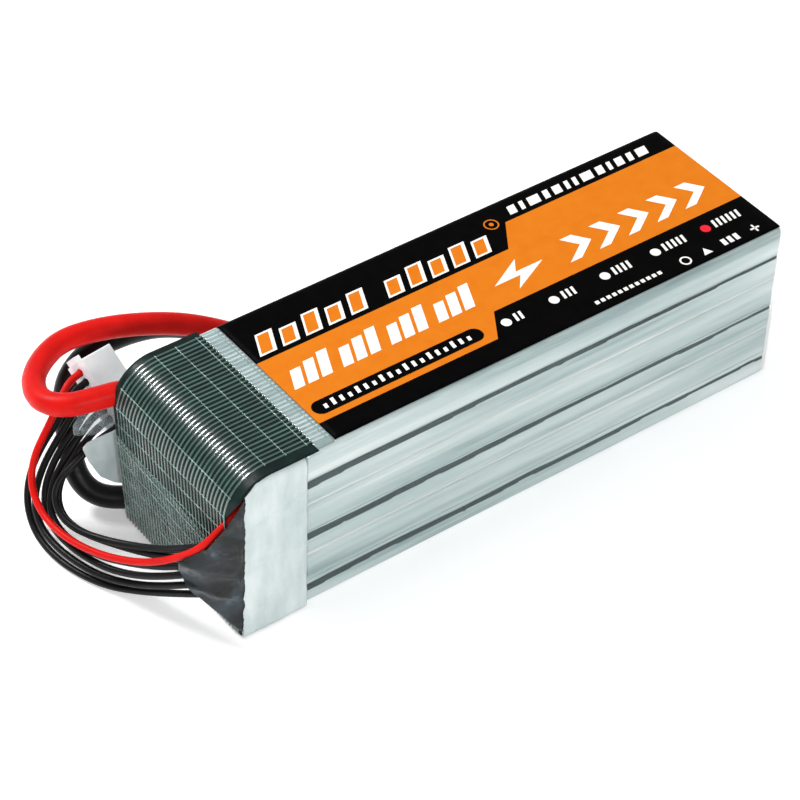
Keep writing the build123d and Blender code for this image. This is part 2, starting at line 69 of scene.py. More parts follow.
class Paint:
    """One procedural material on a Principled shader."""

    def __init__(self, name, color, roughness=0.5, **sockets):
        self.material = bpy.data.materials.new(name)
        self.material.use_nodes = True
        self.nodes = self.material.node_tree.nodes
        self.links = self.material.node_tree.links
        self.shader = self.nodes["Principled BSDF"]
        self.shader.inputs["Base Color"].default_value = srgb(color)
        self.shader.inputs["Roughness"].default_value = roughness
        for socket, value in sockets.items():
            self.shader.inputs[socket.replace("_", " ")].default_value = value
        self.coordinates = self.nodes.new("ShaderNodeTexCoord")

    def noise(self, scale, stretch=(1, 1, 1), detail=4.0, rough=0.55, distortion=0.0):
        """Noise over object coordinates. Its scale is in features per metre."""
        mapping = self.nodes.new("ShaderNodeMapping")
        mapping.inputs["Scale"].default_value = stretch
        self.links.new(self.coordinates.outputs["Object"], mapping.inputs["Vector"])
        texture = self.nodes.new("ShaderNodeTexNoise")
        texture.inputs["Scale"].default_value = scale
        texture.inputs["Detail"].default_value = detail
        texture.inputs["Roughness"].default_value = rough
        texture.inputs["Distortion"].default_value = distortion
        self.links.new(mapping.outputs["Vector"], texture.inputs["Vector"])
        return texture.outputs["Fac"]

    def ramp(self, value, stops):
        """A colour ramp through (position, web colour or grey) stops."""
        ramp = self.nodes.new("ShaderNodeValToRGB")
        elements = ramp.color_ramp.elements
        while len(elements) < len(stops):
            elements.new(0.5)
        for element, (position, tone) in zip(elements, stops):
            element.position = position
            element.color = srgb(tone) if isinstance(tone, str) else (tone, tone, tone, 1)
        self.links.new(value, ramp.inputs["Fac"])
        return ramp.outputs["Color"]

    def color(self, value, stops):
        self.links.new(self.ramp(value, stops), self.shader.inputs["Base Color"])

    def rough(self, value, low, high):
        spread = self.nodes.new("ShaderNodeMapRange")
        spread.inputs["From Min"].default_value = 0.3
        spread.inputs["From Max"].default_value = 0.7
        spread.inputs["To Min"].default_value = low
        spread.inputs["To Max"].default_value = high
        self.links.new(value, spread.inputs["Value"])
        self.links.new(spread.outputs["Result"], self.shader.inputs["Roughness"])

    def bump(self, value, strength, distance):
        bump = self.nodes.new("ShaderNodeBump")
        bump.inputs["Strength"].default_value = strength
        bump.inputs["Distance"].default_value = distance
        self.links.new(value, bump.inputs["Height"])
        if self.shader.inputs["Normal"].links:
            self.links.new(self.shader.inputs["Normal"].links[0].from_socket, bump.inputs["Normal"])
        self.links.new(bump.outputs["Normal"], self.shader.inputs["Normal"])


# ------------------------------------------------------------------ materials
red_silicone = Paint("red_silicone", "#E0231C", 0.42, Specular_IOR_Level=0.12)
red_silicone.color(red_silicone.noise(180), [(0.3, "#C40D08"), (0.7, "#D8140E")])
red_silicone.rough(red_silicone.noise(900), 0.36, 0.5)
red_silicone.bump(red_silicone.noise(2600), 0.12, 0.0001)

black_silicone = Paint("black_silicone", "#0B0B0C", 0.4, Specular_IOR_Level=0.2)
black_silicone.color(black_silicone.noise(180), [(0.3, "#040404"), (0.7, "#0B0B0C")])
black_silicone.rough(black_silicone.noise(900), 0.32, 0.48)
black_silicone.bump(black_silicone.noise(2600), 0.12, 0.0001)

red_sleeve = Paint("red_sleeve", "#B81512", 0.3)
red_sleeve.color(red_sleeve.noise(240), [(0.3, "#A81310"), (0.7, "#C41C18")])
red_sleeve.bump(red_sleeve.noise(700, (0.3, 1, 1)), 0.35, 0.0002)

black_sleeve = Paint("black_sleeve", "#101012", 0.32)
black_sleeve.color(black_sleeve.noise(240), [(0.3, "#0C0C0E"), (0.7, "#18181B")])
black_sleeve.bump(black_sleeve.noise(700, (0.3, 1, 1)), 0.35, 0.0002)

foil = Paint("pouch_foil", "#C3D6D5", 0.34, Metallic=0.2, Coat_Weight=0.7, Coat_Roughness=0.12)
foil.color(
    foil.noise(240, (0.05, 1, 1), detail=6),
    [(0.3, "#98AEAF"), (0.43, "#BBCECE"), (0.57, "#D0E0DF"), (0.72, "#ECF5F4")],
)
foil.rough(foil.noise(320, (0.06, 1, 1)), 0.28, 0.46)
foil.bump(foil.noise(420, (0.04, 1, 1), detail=3), 0.55, 0.0004)
foil.bump(foil.noise(90, (0.2, 1, 1), detail=2), 0.25, 0.0008)

# Painted shade: the dark fold_shadow colour stands in for the shade in the recess under each fold's
# overhanging edge.
groove = Paint("fold_shadow", "#4B5C5E", 0.5, Metallic=0.2)
groove.color(groove.noise(160, (0.08, 1, 1)), [(0.3, "#2C3A3C"), (0.7, "#4A5A5C")])
groove.bump(groove.noise(500, (0.1, 1, 1)), 0.3, 0.0003)

# Painted highlight: a lighter band along each rounded fold ridge stands in for the light the fold
# catches.
painted_ridge_highlight = Paint("painted_ridge_highlight", "#E4ECEB", 0.3, Coat_Weight=0.6)
painted_ridge_highlight.color(painted_ridge_highlight.noise(200, (0.1, 1, 1)), [(0.3, "#CFDBDA"), (0.7, "#EEF4F3")])
painted_ridge_highlight.bump(painted_ridge_highlight.noise(420, (0.05, 1, 1)), 0.2, 0.0003)

clear_film = Paint("clear_film", "#343C3D", 0.12, Alpha=0.08, IOR=1.5)
clear_film.rough(clear_film.noise(140), 0.08, 0.2)
clear_film.bump(clear_film.noise(60, (0.3, 1, 1), detail=2), 0.3, 0.0008)

# The gusset film is painted near-opaque: its dark colour is partly the black wires behind it and
# partly painted shade of the interior, and its lighter blue-grey patches are painted light on that
# interior.
gusset_wires_and_painted_shade = Paint(
    "wire_gusset", "#23292D", 0.2, Alpha=0.9,
    Specular_IOR_Level=0.1, Coat_Weight=0.5, Coat_Roughness=0.08,
)
gusset_wires_and_painted_shade.color(
    gusset_wires_and_painted_shade.noise(70, detail=3, distortion=1.0),
    [(0.3, "#030506"), (0.45, "#0A0E10"), (0.56, "#232E35"), (0.68, "#5E707B")],
)
gusset_wires_and_painted_shade.bump(gusset_wires_and_painted_shade.noise(170, detail=1, distortion=1.5), 0.7, 0.0008)

smoky_film = Paint("crumpled_film", "#8E9AA0", 0.1, Alpha=0.34, IOR=1.5, Coat_Weight=1.0)
smoky_film.color(smoky_film.noise(160), [(0.35, "#39434A"), (0.7, "#A9B4B9")])
smoky_film.bump(smoky_film.noise(260, detail=3, distortion=1.5), 0.5, 0.0006)

paper = Paint("green_paper", "#0E2B26", 0.5, Specular_IOR_Level=0.15)
paper.color(paper.noise(300, detail=6), [(0.3, "#051412"), (0.55, "#091E1B"), (0.8, "#0F2B26")])
paper.rough(paper.noise(700), 0.34, 0.52)
paper.bump(paper.noise(1400), 0.15, 0.0001)

thread = Paint("glass_threads", "#3C5A54", 0.2, Coat_Weight=1.0, Coat_Roughness=0.14, Coat_IOR=1.7)
thread.color(thread.noise(400, (0.1, 1, 1)), [(0.3, "#213D37"), (0.7, "#3F645B")])
thread.bump(thread.noise(900, (0.2, 1, 1)), 0.2, 0.0001)

cross_thread = Paint("cross_threads", "#9FBBB4", 0.3, Coat_Weight=0.6)
cross_thread.color(cross_thread.noise(500), [(0.35, "#5F807A"), (0.65, "#A4BEB8")])
cross_thread.bump(cross_thread.noise(1500), 0.3, 0.0001)

# The second tape layer is real; its film and threads are coloured lighter than the first layer's,
# and that lighter tint is painted reflection off the overlapping layers.
second_layer_film_and_reflection = Paint("second_layer_film", "#8FA39E", 0.25, Alpha=0.28, Coat_Weight=0.4)
second_layer_film_and_reflection.color(second_layer_film_and_reflection.noise(160), [(0.3, "#6F8781"), (0.7, "#A9BBB6")])
second_layer_film_and_reflection.bump(second_layer_film_and_reflection.noise(500), 0.3, 0.0002)

second_layer_threads_and_reflection = Paint("second_layer_threads", "#7E958F", 0.25, Coat_Weight=0.8, Coat_Roughness=0.12)
second_layer_threads_and_reflection.color(second_layer_threads_and_reflection.noise(260), [(0.3, "#566F69"), (0.7, "#93AAA4")])
second_layer_threads_and_reflection.bump(second_layer_threads_and_reflection.noise(900, (1, 1, 0.2)), 0.2, 0.0001)

film_thread = Paint("threads_on_film", "#AFC0C2", 0.25, Coat_Weight=0.8)
film_thread.color(film_thread.noise(400, (0.1, 1, 1)), [(0.3, "#9AADAF"), (0.7, "#C5D3D4")])
film_thread.bump(film_thread.noise(900, (0.2, 1, 1)), 0.2, 0.0001)

strip_base = Paint("tape_on_film", "#8FA2A4", 0.4, Coat_Weight=0.5)
strip_base.color(strip_base.noise(350), [(0.3, "#7A8F8E"), (0.7, "#93A6A5")])
strip_base.bump(strip_base.noise(900), 0.2, 0.0001)

white_tape = Paint("white_tape", "#E8EEEC", 0.5, Coat_Weight=0.3, Coat_Roughness=0.3)
white_tape.color(
    white_tape.noise(220, (1, 1, 0.4), detail=5),
    [(0.25, "#ABB8B8"), (0.5, "#BDC9C9"), (0.75, "#D0D8D7")],
)
white_tape.bump(white_tape.noise(420, (1, 1, 0.5), detail=4), 0.3, 0.0003)
white_tape.bump(white_tape.noise(6000), 0.1, 0.00005)

label_black = Paint("label_black", "#060505", 0.5, Specular_IOR_Level=0.02)
label_black.color(label_black.noise(300), [(0.3, "#020202"), (0.7, "#060505")])
label_black.rough(label_black.noise(500), 0.44, 0.56)

label_orange = Paint("label_orange", "#F28C1C", 0.5, Specular_IOR_Level=0.1)
label_orange.color(label_orange.noise(260), [(0.3, "#D6720E"), (0.7, "#DA7A14")])
label_orange.rough(label_orange.noise(500), 0.44, 0.56)

label_white = Paint("label_white", "#F6F4F0", 0.42, Specular_IOR_Level=0.3)
label_white.color(label_white.noise(260), [(0.3, "#F1EFEA"), (0.7, "#FBFAF7")])

label_red = Paint("label_red", "#E5102E", 0.42, Specular_IOR_Level=0.3)
label_red.color(label_red.noise(260), [(0.3, "#DD0E2A"), (0.7, "#EE1636")])

nylon_white = Paint("white_nylon", "#ECEBE6", 0.4, Subsurface_Weight=0.15, Subsurface_Scale=0.001)
nylon_white.color(nylon_white.noise(200), [(0.3, "#E8ECEE"), (0.7, "#F6F9FA")])
nylon_white.bump(nylon_white.noise(1800), 0.12, 0.0001)

nylon_dark = Paint("dark_nylon", "#26272C", 0.42)
nylon_dark.color(nylon_dark.noise(260), [(0.3, "#202126"), (0.7, "#303137")])
nylon_dark.bump(nylon_dark.noise(1800), 0.2, 0.0001)

tin = Paint("tinned_contact", "#C9CCCE", 0.25, Metallic=1.0)
tin.rough(tin.noise(1500), 0.18, 0.34)
gold = Paint("gold_contact", "#D9B45C", 0.22, Metallic=1.0)
gold.rough(gold.noise(1500), 0.16, 0.3)
solder = Paint("solder", "#C2C6C9", 0.22, Metallic=1.0)
solder.bump(solder.noise(800, detail=2), 0.6, 0.0004)
copper = Paint("copper", "#B87345", 0.3, Metallic=1.0)
copper.rough(copper.noise(1200), 0.24, 0.4)
board = Paint("circuit_board", "#1C4A32", 0.35, Coat_Weight=0.5)
board.color(board.noise(400, detail=6), [(0.3, "#17402B"), (0.7, "#23573B")])
board.bump(board.noise(2500, (1, 3, 1)), 0.2, 0.0001)
aluminium = Paint("aluminium_tab", "#CACED0", 0.3, Metallic=1.0)
aluminium.rough(aluminium.noise(900, (4, 1, 1)), 0.22, 0.4)
nickel = Paint("nickel_tab", "#B9B6A8", 0.3, Metallic=1.0)
nickel.rough(nickel.noise(900, (4, 1, 1)), 0.22, 0.4)
adhesive = Paint("adhesive", "#E6E4DC", 0.6)
adhesive.color(adhesive.noise(400), [(0.3, "#DAD8CE"), (0.7, "#EEECE6")])
foam = Paint("foam", "#D8D8D2", 0.85)
foam.color(foam.noise(1200, detail=8), [(0.35, "#BFBFB8"), (0.65, "#E2E2DC")])
foam.bump(foam.noise(1800, detail=6), 0.8, 0.0005)


# ------------------------------------------------------------------ mesh helpers
def add_mesh(name, build, paints, smooth=True, replaces=()):
    """A piece from a function that fills a bmesh. It rides on the pack's only body."""
    mesh_bm = bmesh.new()
    build(mesh_bm)
    bmesh.ops.recalc_face_normals(mesh_bm, faces=mesh_bm.faces)
    mesh = bpy.data.meshes.new(name)
    mesh_bm.to_mesh(mesh)
    mesh_bm.free()
    for paint in paints:
        mesh.materials.append(paint.material)
    if smooth:
        mesh.polygons.foreach_set("use_smooth", [True] * len(mesh.polygons))
    obj = bpy.data.objects.new(name, mesh)
    bpy.context.scene.collection.objects.link(obj)
    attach(obj, "root")
    if replaces:
        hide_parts(*replaces)


def add_grid(target, rows, material=0, closed=False):
    """Joins rows of points to a sheet of quads. Closed rows join up end to end."""
    made = [[target.verts.new(point) for point in row] for row in rows]
    faces = []
    for low, high in zip(made, made[1:]):
        count = len(low) if closed else len(low) - 1
        for i in range(count):
            j = (i + 1) % len(low)
            face = target.faces.new((low[i], low[j], high[j], high[i]))
            face.material_index = material
            faces.append(face)
    return made, faces


def rim(grid):
    """The points round a grid's edge, in order."""
    return grid[0] + [r[-1] for r in grid[1:]] + grid[-1][-2::-1] + [r[0] for r in grid[-2:0:-1]]


def add_shell(target, outer_rows, inner_rows):
    """A closed thin sheet between an outer and an inner grid of points."""
    outer, _ = add_grid(target, outer_rows)
    inner, _ = add_grid(target, inner_rows)
    outer_rim = rim(outer)
    inner_rim = rim(inner)
    for i in range(len(outer_rim)):
        j = (i + 1) % len(outer_rim)
        target.faces.new((outer_rim[i], outer_rim[j], inner_rim[j], inner_rim[i]))


def add_tube(target, rows, material):
    """A closed tube through rings of points, with a face at each end."""
    made, _ = add_grid(target, rows, material, closed=True)
    for end in (made[0], made[-1]):
        target.faces.new(end).material_index = material


def wave(*place, scale=1.0, seed=0.0):
    """Smooth repeatable noise from -1 to 1 over a place in millimetres."""
    x, y, z = (list(place) + [0.0, 0.0])[:3]
    return noise.noise(Vector((x * scale + seed, y * scale - seed * 1.7, z * scale + seed * 0.3)))


def between(stops, t):
    """The value at t on straight lines through the stops."""
    for (t0, v0), (t1, v1) in zip(stops, stops[1:]):
        if t <= t1:
            return v0 + (v1 - v0) * (t - t0) / (t1 - t0)
    return stops[-1][1]


# ------------------------------------------------------------------ leads and balance wires
LEAD_DIAMETER = 5.5
WIRE_DIAMETER = 1.7
PLUG_MIDDLE_Z = 4.1
LEAD_END_X = 2.0
RED_POLE_Y = 36.4
BLACK_POLE_Y = 43.6
LEAD_JOINT_Y = 5.6
RED_ROUTE = [
    (-69.5, LEAD_JOINT_Y, 37.5), (-69.5, 16, 37.5), (-75.5, 24.5, 37.2), (-83.5, 26.3, 37),
    (-89.5, 28.5, 36.4), (-92.5, 34.5, 35), (-90, 42.5, 33.5), (-84, 48.5, 32.8),
    (-76, 52.5, 32.2), (-66, 51.5, 31.6), (-56, 48.5, 30.4), (-46, 45.5, 27.5),
    (-36, 42.5, 22), (-27, 40, 15), (-18, 38, 8.5),
    (-8, RED_POLE_Y, PLUG_MIDDLE_Z), (LEAD_END_X, RED_POLE_Y, PLUG_MIDDLE_Z),
]
BLACK_ROUTE = [
    (-69.5, LEAD_JOINT_Y, 5), (-69.5, 15, 5), (-75.3, 24, 4.2), (-81.8, 28.5, 4.2),
    (-84.5, 33, 7), (-84.3, 37, 13), (-82.5, 41, 19), (-80.5, 45, 23), (-75.5, 49.6, 24.7),
    (-68, 53.2, 24.8), (-58, 54, 24.3), (-48, 54, 22), (-38, 52, 17.5), (-28, 49, 12),
    (-18, 46.2, 7.2), (-8, BLACK_POLE_Y, PLUG_MIDDLE_Z), (LEAD_END_X, BLACK_POLE_Y, PLUG_MIDDLE_Z),
]
WIRE_START_X = -67.7
WIRE_JOINT_Y = -20.0
BALANCE_ROUTES = [
    [
        (WIRE_START_X, WIRE_JOINT_Y, 39.5), (-73, -21.2, 39.5), (-77.6, -21.5, 37),
        (-80.2, -19.6, 32), (-84.5, -17.5, 26.3), (-87.8, -12.3, 21), (-90.8, -6, 16.2),
        (-94, 1.5, 13), (-96.6, 10, 10.5), (-98.2, 19, 9.1), (-98.3, 27.5, 9.3),
        (-96.9, 33.8, 12.8), (-94, 36.3, 18), (-90.4, 36.6, 23.4), (-86.5, 37.2, 28.6),
    ],
    [
        (WIRE_START_X, WIRE_JOINT_Y, 14), (-74, -21.3, 13.5), (-80, -20.5, 12.5), (-84, -15, 10),
        (-86.8, -8, 6), (-90, -1, 2.6), (-94.5, 6, 1.1), (-97.8, 14, 0.9), (-99.2, 22.5, 0.9),
        (-99, 30, 2.2), (-97.4, 35.4, 6.3), (-94.4, 38, 12), (-90.4, 38.4, 18), (-86.2, 37.7, 24),
    ],
    [
        (WIRE_START_X, WIRE_JOINT_Y, 17), (-74, -21.3, 17), (-80, -20.5, 16), (-85, -14.5, 13.2),
        (-88, -8, 9), (-91, -1, 5.3), (-94.6, 6.5, 3.4), (-97, 14, 3.1), (-98.3, 22.5, 3.1),
        (-98, 29.5, 4.4), (-96.2, 33.7, 8.4), (-93, 34.9, 14.5), (-89.2, 35, 20), (-85.4, 34.8, 25),
    ],
    [
        (WIRE_START_X, WIRE_JOINT_Y, 20.5), (-74, -21.3, 20.5), (-80, -20.5, 19.5),
        (-85.5, -14, 16.2), (-88.8, -7, 11.6), (-91.4, 0, 7.8), (-94, 7.5, 5.5), (-96, 15, 5.1),
        (-96.8, 22.5, 5.1), (-96.2, 28.8, 6.6), (-94.4, 32, 10.8), (-91.7, 32.7, 16),
        (-88.2, 33, 20.6), (-84.6, 33, 24),
    ],
    [
        (WIRE_START_X, WIRE_JOINT_Y, 23.7), (-74, -21.3, 23.7), (-80, -20.5, 22.3),
        (-85, -13.3, 18.05), (-88, -6.5, 13.8), (-90.8, 1, 10.3), (-93.6, 8.5, 7.7),
        (-96, 15.5, 7.2), (-96.8, 22, 7.2), (-96, 27.3, 9), (-93.4, 30.1, 12.8),
        (-90.4, 30.7, 17.2), (-87, 31, 20.8), (-83.8, 31.4, 23.7),
    ],
    [
        (WIRE_START_X, WIRE_JOINT_Y, 27), (-74, -21.3, 27), (-80, -20.5, 25), (-84.4, -14.5, 20.9),
        (-86.3, -7, 16.2), (-88.4, 1, 12.6), (-91, 9, 10.2), (-94, 16.5, 9.2), (-95, 22.5, 9.3),
        (-94.2, 26.6, 11.4), (-92.3, 28.2, 15.4), (-89, 28.6, 19), (-85, 29.2, 22.3),
    ],
    [
        (WIRE_START_X, WIRE_JOINT_Y, 30), (-74, -21.3, 30), (-80, -20.5, 27.6), (-84, -14, 23.6),
        (-86.4, -6.5, 18.2), (-89, 1.5, 14.2), (-92.2, 9, 11.8), (-95.4, 15.5, 11.2),
        (-96.6, 21.3, 11.8), (-95.6, 25.6, 14), (-93.2, 26.8, 17.4), (-89.4, 26.6, 20),
        (-84.9, 27.1, 22.3),
    ],
]

HOUSING_CORNER = Vector((-77.7, 41.1, 35.4))
HOUSING_MATE = Vector((0.9465, 0.2742, -0.1701)).normalized()
HOUSING_ROW = Vector((0.1197, -0.788, -0.6039))
HOUSING_ROW = (HOUSING_ROW - HOUSING_MATE * HOUSING_ROW.dot(HOUSING_MATE)).normalized()
HOUSING_ACROSS = HOUSING_MATE.cross(HOUSING_ROW)
HOUSING_DEPTH = 5.75
FIRST_PIN_INSET = 2.4
PIN_PITCH = 2.5


def housing_point(row, across, height):
    """A point in the balance housing's own directions, in millimetres."""
    return HOUSING_CORNER + HOUSING_ROW * row + HOUSING_ACROSS * across + HOUSING_MATE * height


for pin, route in enumerate(BALANCE_ROUTES):
    row = FIRST_PIN_INSET + pin * PIN_PITCH
    route.append(tuple(housing_point(row, HOUSING_DEPTH / 2, -3.5)))
    route.append(tuple(housing_point(row, HOUSING_DEPTH / 2, 1.5)))


def add_cord(name, node, route, diameter, paint):
    """A smooth NURBS cord along the CAD route."""
    curve = bpy.data.curves.new(name, "CURVE")
    curve.dimensions = "3D"
    spline = curve.splines.new("NURBS")
    spline.points.add(len(route) - 1)
    for point, place in zip(spline.points, route):
        point.co = (*(Vector(place) * MM), 1.0)
    spline.order_u = 3
    spline.use_endpoint_u = True
    spline.resolution_u = 10
    curve.bevel_depth = diameter / 2 * MM
    curve.bevel_resolution = 6
    curve.use_fill_caps = True
    curve.materials.append(paint.material)
    obj = bpy.data.objects.new(name, curve)
    bpy.context.scene.collection.objects.link(obj)
    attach(obj, "root")
    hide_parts(node)


add_cord(
    "red_lead_cord", "red_lead", RED_ROUTE, LEAD_DIAMETER, red_silicone,
)
add_cord(
    "black_lead_cord", "black_lead", BLACK_ROUTE, LEAD_DIAMETER, black_silicone,
)
WIRE_LENGTHS = [114, 111, 106, 101, 96, 91, 90]
for index, (route, length) in enumerate(zip(BALANCE_ROUTES, WIRE_LENGTHS)):
    paint = red_silicone if index == 0 else black_silicone
    add_cord(
        f"balance_cord_{index + 1}", f"balance_wire_{index + 1}", route, WIRE_DIAMETER, paint,
    )

# ------------------------------------------------------------------ carried-over CAD nodes
node_paints = {
    "balance_housing": nylon_white, "balance_contacts": tin, "main_plug_body": nylon_dark,
    "main_plug_sockets": gold, "red_lead_sleeve": red_sleeve, "black_lead_sleeve": black_sleeve,
    "tab_board": board, "board_copper_pads": copper, "lead_solder_joints": solder,
    "balance_solder_joints": solder, "tab_solder": solder, "positive_tabs": aluminium,
    "negative_tabs": nickel, "end_foam_pad": foam, "shrink_film": clear_film,
}
for index in range(5):
    node_paints[f"cell_adhesive_{index + 1}"] = adhesive
for node, paint in node_paints.items():
    slots = nodes[node].material_slots
    if not slots:
        nodes[node].data.materials.append(paint.material)
    for material_slot in slots:
        material_slot.material = paint.material

# ------------------------------------------------------------------ pouch cells
FILM_TOP_Z = 45.8
CELL_THICKNESS = 7.45
CELL_PITCH = 7.61
CELL_BASE_Z = 0.15
CELL_START_X = -60.6
CELL_END_X = 77.2
SIDE_Y = 23.62
CELL_CORNER = 1.6
CELL_END_ROUNDING = 1.2
GROOVE_TOPS = (6.15, 21.95, 37.75)
GROOVE_LIP = 0.35
GROOVE_SHADE_SHARE = 0.68
RIDGE_LOWEST_Z = 3.0
RIDGE_HIGHEST_Z = 43.0


def groove_shape(x, pair):
    """Height of the groove's top edge, its width and its depth at a place along the pack."""
    along = (x - CELL_START_X) / (CELL_END_X - CELL_START_X)
    sway = 0.32 * wave(x, scale=0.045, seed=3.1 * pair + 1) + 0.12 * wave(x, scale=0.16, seed=pair)
    width = 3.1 - 1.9 * along + 0.5 * wave(x, scale=0.06, seed=7 + pair)
    depth = 0.6 - 0.25 * along
    return GROOVE_TOPS[pair] + sway, max(width, 0.6), depth


def side_y(x, z, index):
    """How far out the foil stands at a place on the pack's side."""
    pair = index // 2
    groove_top, width, depth = groove_shape(x, pair)
    y = SIDE_Y - 0.05
    from_top = groove_top - z
    if -GROOVE_LIP < from_top <= 0:
        y -= 0.22 * (1 + from_top / GROOVE_LIP)
    elif 0 < from_top < width:
        y -= depth * min(1.0, (from_top + 0.1) / 0.3) * (1 - 0.75 * from_top / width)
    base = CELL_BASE_Z + 2 * pair * CELL_PITCH
    if RIDGE_LOWEST_Z < z < RIDGE_HIGHEST_Z:
        for ridge in (base, base + 2 * CELL_PITCH):
            y -= 0.28 * math.exp(-((abs(z - ridge) - 0.55) ** 2) / 0.05)
    y += 0.05 * wave(x * 0.2, z, scale=0.9, seed=index) + 0.07 * wave(x, z * 3, scale=0.05, seed=5)
    return min(y, SIDE_Y)


def cell_section(x, index):
    """One cell's outline in the YZ plane at x, starting low on the front side."""
    base = CELL_BASE_Z + index * CELL_PITCH
    top = base + CELL_THICKNESS
    heights = [base + CELL_THICKNESS * i / 30 for i in range(31)]
    side = []
    for z in heights:
        y = side_y(x, z, index)
        past = 0.0
        if index == 0:
            past = base + CELL_CORNER - z
        if index == 5:
            past = z - top + CELL_CORNER
        if past > 0:
            y -= CELL_CORNER - math.sqrt(max(0, CELL_CORNER**2 - past**2))
        side.append((y, z))
    outline = [(-y, z) for y, z in side] + [(y, z) for y, z in reversed(side)]
    inward = min(1.0, (CELL_END_X - x + 0.02) / CELL_END_ROUNDING)
    rounding = 0.96 + 0.04 * math.sqrt(1 - (1 - inward) ** 2)
    middle = (base + top) / 2
    return [Vector((x, y * rounding, middle + (z - middle) * rounding)) * MM for y, z in outline]


def build_cell(index):
    def build(target):
        steps = 150
        straight = CELL_END_X - CELL_END_ROUNDING - CELL_START_X
        places = [CELL_START_X + straight * i / steps for i in range(steps + 1)]
        places += [CELL_END_X - 0.8, CELL_END_X - 0.4, CELL_END_X - 0.12, CELL_END_X]
        rows, faces = add_grid(target, [cell_section(x, index) for x in places], closed=True)
        target.faces.new(rows[0])
        target.faces.new(rows[-1])
        pair = index // 2
        for face in faces:
            middle = face.calc_center_median() / MM
            if abs(middle.y) < 18:
                continue
            groove_top, width, _ = groove_shape(middle.x, pair)
            ridge_gap = 2 * CELL_PITCH
            ridge = CELL_BASE_Z + ridge_gap * round((middle.z - CELL_BASE_Z) / ridge_gap)
            near_ridge = abs(middle.z - ridge - 0.25) < 0.3
            # The upper share of each groove, under the fold's edge, gets the painted shade.
            if 0 < groove_top - middle.z < width * GROOVE_SHADE_SHARE:
                face.material_index = 1
            # Thin bands along each ridge get the painted highlight.
            elif near_ridge and RIDGE_LOWEST_Z < middle.z < RIDGE_HIGHEST_Z:
                face.material_index = 2

    return build


for index in range(6):
    add_mesh(
        f"foil_cell_{index + 1}", build_cell(index), [foil, groove, painted_ridge_highlight],
        replaces=[f"cell_{index + 1}"],
    )

# ------------------------------------------------------------------ the wire end's wrap
WRAP_TOP_X = -80.85
WRAP_FOOT = (-78.35, 0.5)
WRAP_RADIUS = 10.35
PAPER_TOP_Z = 46.0


def wrap_path(start_x, top_z):
    """Points (x, z) with their outward normals, every half millimetre along the wrap."""
    corner = Vector((WRAP_TOP_X, top_z))
    foot = Vector((WRAP_FOOT[0], WRAP_FOOT[1]))
    down = (foot - corner).normalized()
    half_turn = down.angle(Vector((-1, 0))) / 2
    reach = WRAP_RADIUS * math.tan(half_turn)
    arc_start = corner + Vector((reach, 0))
    centre = arc_start - Vector((0, WRAP_RADIUS))
    points = []
    x = start_x
    while x > arc_start.x:
        points.append((Vector((x, top_z)), Vector((0, 1))))
        x -= 0.5
    steps = 30
    for i in range(steps + 1):
        angle = math.pi / 2 + 2 * half_turn * i / steps
        outward = Vector((math.cos(angle), math.sin(angle)))
        points.append((centre + outward * WRAP_RADIUS, outward))
    arc_end = points[-1][0]
    outward = Vector((down.y, -down.x))
    if outward.x > 0:
        outward = -outward
    length = (foot - arc_end).length
    for i in range(1, int(length / 0.5) + 1):
        points.append((arc_end + down * (i * 0.5), outward))
    return points


def travelled(path):
    """Distance along the path at each of its points."""
    total = 0.0
    distances = [0.0]
    for (a, _), (b, _) in zip(path, path[1:]):
        total += (b - a).length
        distances.append(total)
    return distances


WRAP_FRONT_Y = -23.8
WRAP_BACK_Y = 23.8
paper_path = wrap_path(-57.6, PAPER_TOP_Z)


def wrap_front_edge(z):
    """The wrap's front edge stands back where the balance wires come out."""
    if 8.0 < z < 41.5:
        inward = min(1.0, (41.5 - z) / 14, (z - 8.0) / 3.0)
        return WRAP_FRONT_Y + 6.8 * max(0.0, inward)
    return WRAP_FRONT_Y


def wrap_point(place, outward, y, lift):
    x, z = place + outward * lift
    return Vector((x, y, z)) * MM


def build_paper(target):
    outer = []
    inner = []
    columns = 70
    for place, outward in paper_path:
        front = wrap_front_edge(place.y) if place.x < -74 else WRAP_FRONT_Y
        outer_row = []
        inner_row = []
        for i in range(columns + 1):
            y = front + (WRAP_BACK_Y - front) * i / columns
            swell = 0.1 * wave(place.x, y, place.y, scale=0.09, seed=2)
            if place.x > -59:
                swell *= 0.2
            edge = min(y - front, WRAP_BACK_Y - y)
            swell -= 0.25 * math.exp(-edge / 0.5) if place.y < 40 else 0
            outer_row.append(wrap_point(place, outward, y, swell))
            inner_row.append(wrap_point(place, outward, y, swell - 0.18))
        outer.append(outer_row)
        inner.append(inner_row)
    add_shell(target, outer, inner)


add_mesh(
    "green_wrap", build_paper, [paper], replaces=["end_insulation_wrap"]
)

RIB_PITCH = 1.28
RIB_FRONT_Y = -20.6
RIB_COUNT = 34
CROSS_PITCH = 5.3
TAPE_START_X = -52.9
tape_path = wrap_path(TAPE_START_X, PAPER_TOP_Z)
tape_run = travelled(tape_path)


def tape_lift(place):
    """The tape drops from the paper onto the film past the paper's edge."""
    return -0.17 if place.x > -57.4 else 0.0


def paper_swell(place, y):
    """How far the paper stands out under the tape."""
    if place.x < -59:
        return 0.1 * wave(place.x, y, place.y, scale=0.09, seed=2)
    return 0.0


